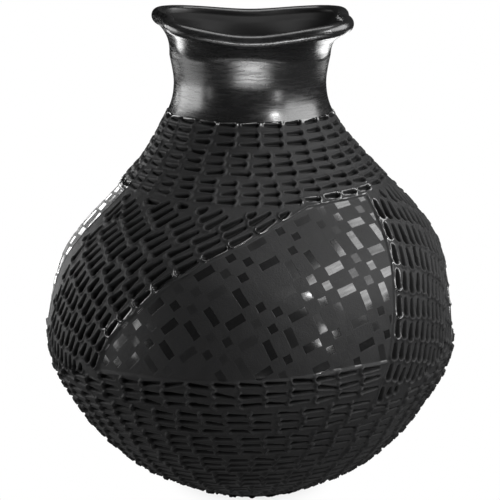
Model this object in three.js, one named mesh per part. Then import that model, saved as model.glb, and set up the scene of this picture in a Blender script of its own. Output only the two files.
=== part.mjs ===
/**
 * A barro negro pot: a black clay vessel with a round belly, a narrow neck and a flared,
 * rolled mouth that is nearly square seen from above.
 *
 * The pot is built the way a potter builds it, from clay members stacked on each other:
 * a pressed dish, four coiled rings of wall, the neck root, the neck collar, the flared
 * mouth and the coil rolled over its edge.
 *
 * Millimetres, +Z up. The origin is the middle of the foot, and -Y is the front.
 */
import * as THREE from 'three';

// Driving sizes
const SEGMENTS = 60; // facets round the pot
const WALL = 5.5; // wall thickness, square to the surface
const FLOOR = 7; // floor thickness over the foot
const JOINT_GAP = 0.3; // clearance between the mouth and the coil on it

// The outer side, from the foot up to the bend under the mouth: radius, height.
const STATIONS = {
  footEdge: [26, 0],
  dishTop: [57.6, 16],
  lowerMiddle: [72.4, 28],
  lowerTop: [87.6, 46],
  bellyTop: [102.2, 76],
  shoulderLow: [98.8, 112],
  shoulderHigh: [89.5, 134],
  shoulderTop: [67.8, 158.5],
  rootMiddle: [52.4, 176],
  rootTop: [40.9, 194.4],
  throat: [37.8, 208],
  bend: [39.8, 222],
};
const STATION_NAMES = Object.keys(STATIONS);

// The shoulder bulges in three lobes between three flatter panels.
const LOBES = 3;
const LOBE_CREST = THREE.MathUtils.degToRad(82); // a lobe's middle, turned from the front
const LOBE_RISE = 0.05; // bulge at the crest, as a part of the radius
const LOBE_HEIGHTS = [104, 158, 168, 192]; // starts, is full, starts to fade, is gone

// The mouth, at the middle of its sides
const LIP_RADIUS = 3.3; // the rolled coil's own radius
const MOUTH_RADIUS = 48; // from the pot's axis to the coil's centre
const MOUTH_HEIGHT = 237.7; // mean height of the coil's centre
const MOUTH_SQUARENESS = 4.7; // exponent of the superellipse, where 2 is a circle
const MOUTH_WAVE = [-0.9, -2.2, -0.8, -0.83]; // rise for one, two, three, four waves a turn
const SIDE_HOLLOW = 2.4; // how far the middles of the mouth's sides curve in
const MOUTH_DENT = 9; // how far the front left corner is pushed in
const DENT_ANGLE = THREE.MathUtils.degToRad(-55); // the dent's middle, turned from the front
const DENT_SPREAD = THREE.MathUtils.degToRad(30); // how far the dent reaches to each side
const FLARE_WALL = 3.8; // wall thickness at the top of the flare
const FLARE_CURL = 1.3; // how late the flare opens out
const SEAT_HEIGHT = MOUTH_HEIGHT - LIP_RADIUS - JOINT_GAP;

const BLACK_MATTE = { color: 0x1b1b1c, roughness: 0.78, metalness: 0 };
const BLACK_BURNISHED = { color: 0x0d0d0e, roughness: 0.2, metalness: 0 };

const outerSide = new THREE.SplineCurve(
  Object.values(STATIONS).map(([radius, height]) => new THREE.Vector2(radius, height)),
);

/** How much of the lobes' bulge a height has, from 0 to 1. */
function lobeStrength(height) {
  const [start, full, fade, end] = LOBE_HEIGHTS;
  const rise = THREE.MathUtils.smoothstep(height, start, full);
  return rise * (1 - THREE.MathUtils.smoothstep(height, fade, end));
}

/** How far the squared, dented mouth stands outside its round middle radius, at an angle. */
function mouthReach(angle) {
  const across = Math.abs(Math.sin(angle)) ** MOUTH_SQUARENESS;
  const along = Math.abs(Math.cos(angle)) ** MOUTH_SQUARENESS;
  const square = MOUTH_RADIUS * ((across + along) ** (-1 / MOUTH_SQUARENESS) - 1);
  const dent = MOUTH_DENT * Math.exp(-(((angle - DENT_ANGLE) / DENT_SPREAD) ** 2));
  const hollow = SIDE_HOLLOW * (1 + Math.cos(4 * angle)) / 2;
  return square - dent - hollow;
}

/** How far the mouth's edge stands above its mean height, at an angle from the front. */
function mouthRise(angle) {
  return MOUTH_WAVE.reduce((rise, size, i) => rise + size * Math.cos((i + 1) * angle), 0);
}

/** Moves every vertex of a round ring to the pot's real form: lobed below, squared above. */
function formByHand(geometry) {
  const place = geometry.getAttribute('position');
  const flare = SEAT_HEIGHT - STATIONS.bend[1];
  for (let i = 0; i < place.count; i += 1) {
    const angle = Math.atan2(place.getX(i), -place.getY(i));
    const height = place.getZ(i);
    const lobe = LOBE_RISE * lobeStrength(height) * Math.cos(LOBES * (angle - LOBE_CREST));
    const open = THREE.MathUtils.clamp((height - STATIONS.bend[1]) / flare, 0, 1);
    const radius = Math.hypot(place.getX(i), place.getY(i)) * (1 + lobe)
      + mouthReach(angle) * open ** FLARE_CURL;
    place.setXYZ(
      i,
      radius * Math.sin(angle),
      -radius * Math.cos(angle),
      height + mouthRise(angle) * open,
    );
  }
  return geometry;
}

/** Turns an outline of radius and height round the pot's axis into a named clay member. */
function clayMember(name, outline, finish) {
  const geometry = new THREE.LatheGeometry(outline, SEGMENTS).rotateX(Math.PI / 2);
  const member = new THREE.Mesh(formByHand(geometry), new THREE.MeshStandardMaterial(finish));
  member.name = name;
  return member;
}

/** Points up the outer side between two stations, with some steps for each stretch. */
function outerPoints(from, to, steps) {
  const first = STATION_NAMES.indexOf(from);
  const stretches = STATION_NAMES.indexOf(to) - first;
  const whole = STATION_NAMES.length - 1;
  return Array.from({ length: stretches * steps + 1 }, (_, i) => (
    (first + i / steps) / whole
  ));
}

/** The inner side's point level with the outer side's point at a curve parameter. */
function innerPoint(parameter) {
  const outer = outerSide.getPoint(parameter);
  const slope = outerSide.getTangent(parameter);
  return new THREE.Vector2(outer.x - WALL / Math.abs(slope.y), outer.y);
}

/** A ring of wall between two stations. */
function wallRing(name, from, to, steps, finish) {
  const parameters = outerPoints(from, to, steps);
  const outer = parameters.map((parameter) => outerSide.getPoint(parameter));
  const inner = parameters.map(innerPoint).reverse();
  return clayMember(name, [...outer, ...inner, outer[0].clone()], finish);
}

/** The pressed dish that the pot stands on: a flat foot, and a floor that curves up. */
function baseDish() {
  const parameters = outerPoints('footEdge', 'dishTop', 3);
  const outer = parameters.map((parameter) => outerSide.getPoint(parameter));
  const rim = innerPoint(parameters.at(-1));
  const floor = new THREE.QuadraticBezierCurve(
    rim,
    new THREE.Vector2(rim.x * 0.75, FLOOR),
    new THREE.Vector2(0, FLOOR),
  ).getPoints(6);
  return clayMember('base_dish', [new THREE.Vector2(0, 0), ...outer, ...floor], BLACK_MATTE);
}

/** The flared mouth, from the bend up to the seat under the rolled coil. */
function flaredMouth() {
  const [bendRadius, bendHeight] = STATIONS.bend;
  const innerTop = MOUTH_RADIUS - LIP_RADIUS; // flush with the coil's inner side
  const steps = 4;
  const side = (bottom, top) => Array.from({ length: steps + 1 }, (_, i) => new THREE.Vector2(
    bottom + (top - bottom) * (i / steps) ** FLARE_CURL,
    bendHeight + (SEAT_HEIGHT - bendHeight) * (i / steps),
  ));
  const outer = side(bendRadius, innerTop + FLARE_WALL);
  const inner = side(innerPoint(1).x, innerTop).reverse();
  return clayMember('flared_mouth', [...outer, ...inner, outer[0].clone()], BLACK_BURNISHED);
}

/** The round coil that finishes the mouth's edge. */
function rolledLip() {
  const outline = new THREE.EllipseCurve(MOUTH_RADIUS, MOUTH_HEIGHT, LIP_RADIUS, LIP_RADIUS)
    .getPoints(10);
  outline[outline.length - 1] = outline[0].clone();
  return clayMember('rolled_lip', outline, BLACK_BURNISHED);
}

const pot = new THREE.Group();
pot.add(
  baseDish(),
  wallRing('lower_wall', 'dishTop', 'lowerTop', 2, BLACK_MATTE),
  wallRing('belly_wall', 'lowerTop', 'bellyTop', 4, BLACK_MATTE),
  wallRing('shoulder_base', 'bellyTop', 'shoulderLow', 4, BLACK_MATTE),
  wallRing('shoulder_wall', 'shoulderLow', 'shoulderTop', 4, BLACK_MATTE),
  wallRing('neck_root', 'shoulderTop', 'rootTop', 3, BLACK_MATTE),
  wallRing('neck_collar', 'rootTop', 'bend', 3, BLACK_BURNISHED),
  flaredMouth(),
  rolledLip(),
);
pot.name = 'barro_negro_pot';

export default pot;
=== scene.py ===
"""A barro negro pot: carved and burnished black clay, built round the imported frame.

The pot is made in its own members: a foot, carved walls, a burnished neck, a flared mouth
with its rolled lip, and the inner wall. Lengths inside the classes are millimetres, and
angles are radians turned from the front (-Y) towards the right (+X), unless a name says
degrees. An arc length is measured up the outer side from the foot's edge.
"""
import logging
import math
from dataclasses import dataclass, replace
from enum import Enum
from functools import cached_property

import bmesh
import bpy
import numpy as np
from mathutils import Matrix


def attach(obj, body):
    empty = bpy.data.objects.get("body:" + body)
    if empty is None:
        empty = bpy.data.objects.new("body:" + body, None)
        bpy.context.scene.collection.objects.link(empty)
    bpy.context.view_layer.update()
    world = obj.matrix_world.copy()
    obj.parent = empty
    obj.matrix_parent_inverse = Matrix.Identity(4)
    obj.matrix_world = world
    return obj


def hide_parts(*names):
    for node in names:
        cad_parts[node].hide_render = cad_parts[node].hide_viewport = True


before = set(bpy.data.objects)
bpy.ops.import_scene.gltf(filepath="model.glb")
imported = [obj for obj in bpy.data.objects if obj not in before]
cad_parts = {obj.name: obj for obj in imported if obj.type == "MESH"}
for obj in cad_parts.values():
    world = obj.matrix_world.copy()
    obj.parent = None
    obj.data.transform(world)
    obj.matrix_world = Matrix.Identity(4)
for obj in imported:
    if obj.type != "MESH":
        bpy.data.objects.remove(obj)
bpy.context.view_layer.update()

Array = np.ndarray
Colour = tuple[float, float, float, float]

MM = 0.001
THIRD = 2 * math.pi / 3
BODY = "root"

log = logging.getLogger("pot")


class Slot(Enum):
    """The record's two clay finishes."""

    MATTE = "matte_clay"
    BURNISHED = "burnished_clay"


class FatEnd(Enum):
    """Which end of a level cut the blade went in, where the cut is wide and has a bead."""

    RIGHT = 1
    LEFT = -1


def smoothstep(low: float, high: float, value: Array) -> Array:
    """Eases from 0 to 1 while a value goes from low to high.

    Args:
        low: Where the result starts to rise.
        high: Where the result reaches 1; it may be lower than low, to fall instead.
        value: The values to ease.

    Returns:
        The eased values.
    """
    part = np.clip((value - low) / (high - low), 0, 1)
    return part * part * (3 - 2 * part)


@dataclass(frozen=True)
class Curve:
    """A smooth line through a few stations, one number against another."""

    stations: tuple[tuple[float, float], ...]

    def at(self, where: Array) -> Array:
        """Reads the curve.

        Args:
            where: The first numbers, of any shape.

        Returns:
            The second numbers, level beyond both ends.
        """
        xs, ys = np.array(self.stations).T
        slopes = np.gradient(ys, xs)
        x = np.clip(where, xs[0], xs[-1])
        i = np.clip(np.searchsorted(xs, x) - 1, 0, len(xs) - 2)
        span = xs[i + 1] - xs[i]
        t = (x - xs[i]) / span
        held = (2 * t ** 3 - 3 * t ** 2 + 1) * ys[i] + (3 * t ** 2 - 2 * t ** 3) * ys[i + 1]
        bent = (t ** 3 - 2 * t ** 2 + t) * slopes[i] + (t ** 3 - t ** 2) * slopes[i + 1]
        return held + bent * span


@dataclass(frozen=True)
class PotForm:
    """The pot's plain form under the carving, which the frame's members share."""

    stations: tuple[tuple[float, float], ...] = (
        (26, 0), (57.6, 16), (72.4, 28), (87.6, 46), (102.2, 76), (98.8, 112),
        (89.5, 134), (67.8, 158.5), (52.4, 176), (40.9, 194.4), (37.8, 208), (39.8, 222),
    )
    wall: float = 5.5
    lobe_crest: float = math.radians(82)
    lobe_rise: float = 0.05
    lobe_heights: tuple[float, float, float, float] = (104, 158, 168, 192)
    bend_height: float = 222
    bend_radius: float = 39.8
    lip_radius: float = 3.3
    mouth_radius: float = 48
    mouth_height: float = 237.7
    mouth_squareness: float = 4.7
    mouth_wave: tuple[float, ...] = (-0.9, -2.2, -0.8, -0.83)
    side_hollow: float = 2.4
    dent_depth: float = 9
    dent_angle: float = math.radians(-55)
    dent_spread: float = math.radians(30)
    flare_curl: float = 1.3
    flare_wall: float = 3.8

    @cached_property
    def walk(self) -> Array:
        """Walks up the outer side from the foot's edge to the bend.

        Returns:
            Rows of arc length, radius and height at close steps.
        """
        points = np.array(self.stations, float)
        padded = np.vstack([points[:1], points, points[-1:]])
        t = np.linspace(0, 1, 200, endpoint=False)[:, None]
        stretches = []
        for before, start, end, after in zip(padded, padded[1:], padded[2:], padded[3:]):
            leave, arrive = (end - before) / 2, (after - start) / 2
            stretches.append(
                (2 * start - 2 * end + leave + arrive) * t ** 3
                + (3 * end - 3 * start - 2 * leave - arrive) * t ** 2
                + leave * t + start
            )
        line = np.vstack([*stretches, points[-1:]])
        steps = np.hypot(*np.diff(line, axis=0).T)
        return np.column_stack([np.concatenate([[0], np.cumsum(steps)]), line]).T

    @property
    def full_arc(self) -> float:
        """The outer side's length, from the foot's edge to the bend."""
        return float(self.walk[0, -1])

    def arc_of(self, height: Array) -> Array:
        """Arc length up the outer side at a height."""
        return np.interp(height, self.walk[2], self.walk[0])

    def height_of(self, arc: Array) -> Array:
        """Height on the outer side at an arc length."""
        return np.interp(arc, self.walk[0], self.walk[2])

    def radius_of(self, arc: Array) -> Array:
        """Round radius of the outer side at an arc length, without the lobes."""
        return np.interp(arc, self.walk[0], self.walk[1])

    def formed(self, angle: Array, radius: Array, height: Array) -> Array:
        """Moves points of the round pot to its hand-formed shape.

        Args:
            angle: Angles from the front.
            radius: Distances from the axis on the round pot.
            height: Heights on the round pot.

        Returns:
            One row of x, y and z for each point.
        """
        start, full, fade, end = self.lobe_heights
        strength = smoothstep(start, full, height) * (1 - smoothstep(fade, end, height))
        lobe = 1 + self.lobe_rise * strength * np.cos(3 * (angle - self.lobe_crest))
        seat = self.mouth_height - self.lip_radius
        flare = np.clip((height - self.bend_height) / (seat - self.bend_height), 0, 1)
        power = self.mouth_squareness
        square = np.abs(np.sin(angle)) ** power + np.abs(np.cos(angle)) ** power
        off = np.mod(angle - self.dent_angle + math.pi, 2 * math.pi) - math.pi
        dent = self.dent_depth * np.exp(-((off / self.dent_spread) ** 2))
        hollow = self.side_hollow * (1 + np.cos(4 * angle)) / 2
        reach = self.mouth_radius * (square ** (-1 / power) - 1) - dent - hollow
        rise = sum(size * np.cos((i + 1) * angle) for i, size in enumerate(self.mouth_wave))
        out = radius * lobe + reach * flare ** self.flare_curl
        return np.column_stack([out * np.sin(angle), -out * np.cos(angle), height + rise * flare])

    def skin(self, angle: Array, arc: Array) -> Array:
        """Points of the plain outer side at angles and arc lengths."""
        return self.formed(angle, self.radius_of(arc), self.height_of(arc))

    def outward(self, angle: Array, arc: Array) -> Array:
        """Finds the directions square to the plain outer side.

        Args:
            angle: Angles from the front.
            arc: Arc lengths up the wall.

        Returns:
            One row for each place, of length 1 and pointing out of the clay.
        """
        turn, climb = 0.004, 0.6
        along = self.skin(angle + turn, arc) - self.skin(angle - turn, arc)
        up = self.skin(angle, np.minimum(arc + climb, self.full_arc))
        up = up - self.skin(angle, np.maximum(arc - climb, 0))
        normal = np.cross(along, up)
        return normal / np.linalg.norm(normal, axis=1, keepdims=True)


@dataclass(frozen=True)
class Cut:
    """One cut of the blade: where it lies on the wall, its run, and its size."""

    angle: float
    arc: float
    lean: float
    length: float
    width: float
    depth: float
    bead: float = 0.5


@dataclass(frozen=True)
class Stray:
    """How far the carver's hand strays, as the spread of each measure of a cut.

    Lengths, widths, depths and beads stray by a share of themselves, and leans by radians.
    Along and across the row a cut strays by millimetres, but in a level row the start and
    the place along it stray by a share of its step.
    """

    along: float
    across: float
    lean: float
    length: float
    width: float
    depth: float
    bead: float = 0.0
    start: float = 0.0


@dataclass(frozen=True)
class Blade:
    """The carver's blade, which leaves a teardrop trough with a burr and a bead.

    Places across the edge are distances outside the trough, and negative ones are inside.
    """

    burr: float = 0.42
    tail: float = 0.62
    shallow_tail: float = 0.3
    low_tail: float = 0.45
    trough_edge: tuple[float, float] = (0.15, -0.7)
    burr_place: float = 0.45
    burr_spread: float = 0.36
    bead_place: float = 0.65
    bead_spread: float = 0.62

    def mark(self, along: Array, across: Array, cut: Cut) -> tuple[Array, Array, Array]:
        """Works out the clay round a cut.

        Args:
            along: Distances from the cut's middle, towards its fat end.
            across: Distances to the side of its middle line.
            cut: The cut.

        Returns:
            How deep the trough is, how high the raised clay is, and how far a point is on
            the burr from 0 to 1.
        """
        fat, thin = cut.width / 2, cut.width / 2 * self.tail
        span = max(cut.length - fat - thin, 0.5)
        y = cut.length / 2 - fat - along
        x = np.abs(across)
        taper = (fat - thin) / span
        upright = math.sqrt(1 - taper ** 2)
        side = y * upright - x * taper
        flank = x * upright + y * taper - fat
        edge = np.where(side > span * upright, np.hypot(x, y - span) - thin, flank)
        edge = np.where(side < 0, np.hypot(x, y) - fat, edge)
        run = np.clip(y / span, 0, 1)
        sink = cut.depth * smoothstep(*self.trough_edge, edge) * (1 - self.shallow_tail * run)
        rim = np.exp(-((edge - self.burr_place) / self.burr_spread) ** 2)
        bead = np.exp(-((edge - self.bead_place) / self.bead_spread) ** 2)
        bead = bead * smoothstep(0.5 * fat, -0.5 * fat, y)
        rise = self.burr * rim * (1 - self.low_tail * run) + cut.bead * bead
        return sink, rise, np.clip(rim + bead, 0, 1)


@dataclass
class WallSheet:
    """The outer wall laid out flat as a fine sheet, where the cuts are pressed in."""

    form: PotForm
    blade: Blade
    pitch: float = 0.3
    spill: float = 2

    def __post_init__(self) -> None:
        """Rules the sheet and leaves it plain."""
        widest = 2 * math.pi * float(self.form.walk[1].max())
        self.columns = int(widest / self.pitch)
        self.rows = int(self.form.arc_of(self.form.bend_height) / self.pitch)
        self.arcs = np.arange(self.rows) * self.pitch
        self.radii = self.form.radius_of(self.arcs)
        self.sink, self.rise, self.burr = (
            np.zeros((self.rows, self.columns), np.float32) for _ in range(3)
        )

    def press(self, cut: Cut) -> None:
        """Presses one cut into the sheet, where the deepest and highest marks stay.

        Args:
            cut: The cut.
        """
        reach = cut.length / 2 + self.spill
        first = max(int((cut.arc - reach) / self.pitch), 0)
        last = min(int((cut.arc + reach) / self.pitch) + 1, self.rows)
        turn = 2 * math.pi / self.columns
        half = int(reach / (self.radii[first:last].min() * turn)) + 1
        middle = int(round(cut.angle / turn))
        columns = np.arange(middle - half, middle + half + 1)
        window = np.ix_(range(first, last), columns % self.columns)
        x = (columns * turn - cut.angle)[None, :] * self.radii[first:last, None]
        y = (self.arcs[first:last] - cut.arc)[:, None]
        along = x * math.sin(cut.lean) + y * math.cos(cut.lean)
        across = x * math.cos(cut.lean) - y * math.sin(cut.lean)
        marks = self.blade.mark(along, across, cut)
        for held, fresh in zip((self.sink, self.rise, self.burr), marks):
            held[window] = np.maximum(held[window], fresh)

    def read(self, held: Array, angle: Array, arc: Array) -> Array:
        """Reads one of the sheet's layers between its ruled places.

        Args:
            held: The layer.
            angle: Angles from the front.
            arc: Arc lengths up the wall.

        Returns:
            The layer's values there.
        """
        x = np.mod(angle / (2 * np.pi), 1) * self.columns
        y = np.clip(arc / self.pitch, 0, self.rows - 1.001)
        i, j = x.astype(int) % self.columns, y.astype(int)
        fx, fy = x - np.floor(x), y - j
        after = (i + 1) % self.columns
        low = held[j, i] * (1 - fx) + held[j, after] * fx
        high = held[j + 1, i] * (1 - fx) + held[j + 1, after] * fx
        return low * (1 - fy) + high * fy


@dataclass(frozen=True)
class Layout:
    """The lines that divide the pot: neck rows, three panels, three bands, low rows.

    Edges are given for one third of the pot, in degrees from the front, against height. A
    slant turns a level distance from an edge into the distance square to it.
    """

    form: PotForm
    burnish_height: float = 194.4
    neck_edge: Curve = Curve((
        (-64, 159.2), (-50, 160.4), (-38, 160.8), (-20, 159.1), (0, 157.1), (21, 157.1),
        (38, 158.3), (56, 159.2),
    ))
    right_edge: Curve = Curve((
        (64, 35.5), (76, 36.6), (87, 39.2), (101, 41.8), (110, 43.4), (120, 44.8), (136, 48.8),
        (150, 53.2), (160, 56.2),
    ))
    left_edge: Curve = Curve((
        (80, -45.2), (91.8, -42.2), (100.8, -39), (115, -30.8), (133, -17.2), (145, -0.2),
        (154.5, 18.2), (160, 31),
    ))
    floor_edge: Curve = Curve((
        (-84, 66), (-62, 74), (-45, 80.3), (-13, 83.2), (13, 85.2), (27, 87.2), (40, 87),
    ))
    row_line: Curve = Curve((
        (-85, 86.6), (-80, 87), (-63, 83.6), (-45, 80.6), (-13, 83), (13, 85.2), (36, 87), (41, 87),
    ))
    left_slant: float = 0.68
    right_slant: float = 0.97
    recess: float = 0.5
    lattice_step: float = 27.26
    lattice_turn: float = math.radians(27.56)
    lattice_home: tuple[float, float] = (19.42, 123.84)
    cone: float = 0.5
    cone_radius: float = 96
    cone_middle: tuple[float, float] = (5.0, 118)
    lean_in: tuple[float, float, float] = (-4.5, -66, 18)

    def wrapped(self, angle: Array, height: Array) -> Array:
        """Turns angles into degrees within their own third of the pot.

        The thirds are nearly even; one panel reaches a little further round to the front.

        Args:
            angle: Angles from the front.
            height: Heights on the plain form.

        Returns:
            Degrees that run from one panel's right edge to the next panel's right edge.
        """
        right = self.right_edge.at(height)
        shift, middle, spread = self.lean_in
        degrees = np.degrees(angle)
        degrees = degrees + shift * np.exp(-(((degrees - middle) / spread) ** 2))
        turned = degrees - right
        return turned - np.floor(turned / 120) * 120 + right - 120

    def gaps(self, angle: Array, arc: Array) -> dict[str, Array]:
        """Measures how far places are inside each zone's edges.

        Args:
            angle: Angles from the front.
            arc: Arc lengths up the wall.

        Returns:
            Distances inside the neck rows, low rows, panel and band, and inside the panel's
            sides and top alone, all negative outside; and the degrees within the third.
        """
        height = self.form.height_of(arc)
        radius = self.form.radius_of(arc)
        degrees = self.wrapped(angle, height)
        right = self.right_edge.at(height)
        neck = arc - self.form.arc_of(self.neck_edge.at(degrees))
        floor = arc - self.form.arc_of(self.floor_edge.at(degrees))
        left = np.radians(degrees - self.left_edge.at(height)) * radius * self.left_slant
        inner_right = np.radians(right - degrees) * radius * self.right_slant
        outer_right = np.radians(degrees - right + 120) * radius * self.right_slant
        panel_side = np.minimum(left, inner_right)
        band_side = np.minimum(-left, outer_right)
        panel_side = np.where(left > 0, panel_side, -band_side)
        return {
            "neck": neck, "low": -floor, "degrees": degrees, "rim": np.minimum(panel_side, -neck),
            "panel": np.minimum.reduce([panel_side, -neck, floor]),
            "band": np.minimum.reduce([band_side, -neck, floor]),
        }

    def lattice(self, degrees: Array, arc: Array) -> tuple[Array, Array]:
        """Lays each panel out flat, as a piece of a cone, and reads its slanted lattice.

        Args:
            degrees: Degrees within the third.
            arc: Arc lengths up the wall.

        Returns:
            The two lattice coordinates, where a whole step is one repeat of the pattern.
        """
        middle_degrees, middle_height = self.cone_middle
        middle_arc = self.form.arc_of(middle_height)
        reach = self.cone_radius / self.cone

        def laid_out(turn: Array, climb: Array) -> tuple[Array, Array]:
            """Lays places of the cone out flat.

            Args:
                turn: Degrees within the third.
                climb: Arc lengths up the wall.

            Returns:
                Level and upright distances from the cone's middle.
            """
            swing = np.radians(turn - middle_degrees) * self.cone
            far = reach + middle_arc - climb
            return far * np.sin(swing), reach - far * np.cos(swing)

        home_degrees, home_height = self.lattice_home
        x0, y0 = laid_out(np.array(home_degrees), self.form.arc_of(home_height))
        x, y = laid_out(degrees, arc)
        x, y = x - x0, y - y0
        c, s = math.cos(self.lattice_turn), math.sin(self.lattice_turn)
        return (x * c + y * s) / self.lattice_step, (y * c - x * s) / self.lattice_step


@dataclass
class LevelRows:
    """Groups of three level rows of cuts, each group shifted by half a cut.

    A group's rows lie a little closer to each other than to the next group's.
    """

    layout: Layout
    counts: tuple[int, ...]
    fat_end: FatEnd
    zone: str
    fill: float
    width: float
    depth: float
    bead: float
    seed: int
    unsteadiness: float = 1.0
    group: int = 3
    gathered: float = 0.05
    edge_gap: float = 0.9
    lowest: float = 2.0
    stray: Stray = Stray(
        along=0.025, across=0.14, lean=0.045, length=0.05, width=0.09, depth=0.1, bead=0.2,
        start=0.05,
    )

    def top_arc(self, angle: float) -> float:
        """Arc length of the first row's upper side, at an angle."""
        raise NotImplementedError

    def low_arc(self, angle: float) -> float:
        """Arc length of the last row's lower side, at an angle."""
        raise NotImplementedError

    def cuts(self) -> list[Cut]:
        """Places the cuts of every row.

        Returns:
            The cuts that fall inside the rows' zone.
        """
        hand = np.random.default_rng(self.seed)
        shake, stray = self.unsteadiness, self.stray
        form = self.layout.form
        rows = self.group * len(self.counts)
        made = []
        for row in range(rows):
            group, row_in_group = divmod(row, self.group)
            count = self.counts[group]
            step = 2 * math.pi / count
            shift = step * (0.5 * (group % 2) + hand.uniform(-stray.start, stray.start))
            for number in range(count):
                angle = shift + step * number + hand.normal(0, stray.along * shake) * step
                top = self.top_arc(angle)
                pitch = (top - self.low_arc(angle)) / rows
                gathered = self.gathered * pitch * (row_in_group - 1)
                strayed = hand.normal(0, stray.across * shake)
                arc = top - pitch * (row + 0.5) + gathered + strayed
                share = step * float(form.radius_of(arc))
                made.append(Cut(
                    angle, arc,
                    self.fat_end.value * (math.pi / 2) + hand.normal(0, stray.lean * shake),
                    share * self.fill * (1 + hand.normal(0, stray.length)),
                    self.width * (1 + hand.normal(0, stray.width)),
                    self.depth * (1 + hand.normal(0, stray.depth)),
                    self.bead * (1 + hand.normal(0, stray.bead)),
                ))
        middles = np.array([(cut.angle, cut.arc) for cut in made])
        inside = self.layout.gaps(middles[:, 0], middles[:, 1])[self.zone] > self.edge_gap
        inside &= middles[:, 1] > self.lowest
        return [cut for cut, kept in zip(made, inside) if kept]


@dataclass
class NeckRows(LevelRows):
    """The rows between the burnished neck and the panels."""

    above_burnish: float = 1.2
    above_panel: float = 0.4
    panel_top: float = 158.0

    def top_arc(self, angle: float) -> float:
        """The burnished neck's lower edge."""
        return float(self.layout.form.arc_of(self.layout.burnish_height)) + self.above_burnish

    def low_arc(self, angle: float) -> float:
        """The upper edge of the panels and bands, which the last rows follow."""
        degrees = self.layout.wrapped(np.array(angle), np.array(self.panel_top))
        edge = self.layout.form.arc_of(self.layout.neck_edge.at(degrees))
        return float(edge) + self.above_panel


@dataclass
class LowRows(LevelRows):
    """The rows from the panels' lower edge down to the foot."""

    above_line: float = 1.4
    panel_floor: float = 84.0
    under_foot: float = -5.0

    def top_arc(self, angle: float) -> float:
        """The panels' lower edge, which the rows follow."""
        degrees = self.layout.wrapped(np.array(angle), np.array(self.panel_floor))
        line = self.layout.form.arc_of(self.layout.row_line.at(degrees))
        return float(line) + self.above_line

    def low_arc(self, angle: float) -> float:
        """Under the foot, so that the last whole row is just outside the foot's edge."""
        return self.under_foot


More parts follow.
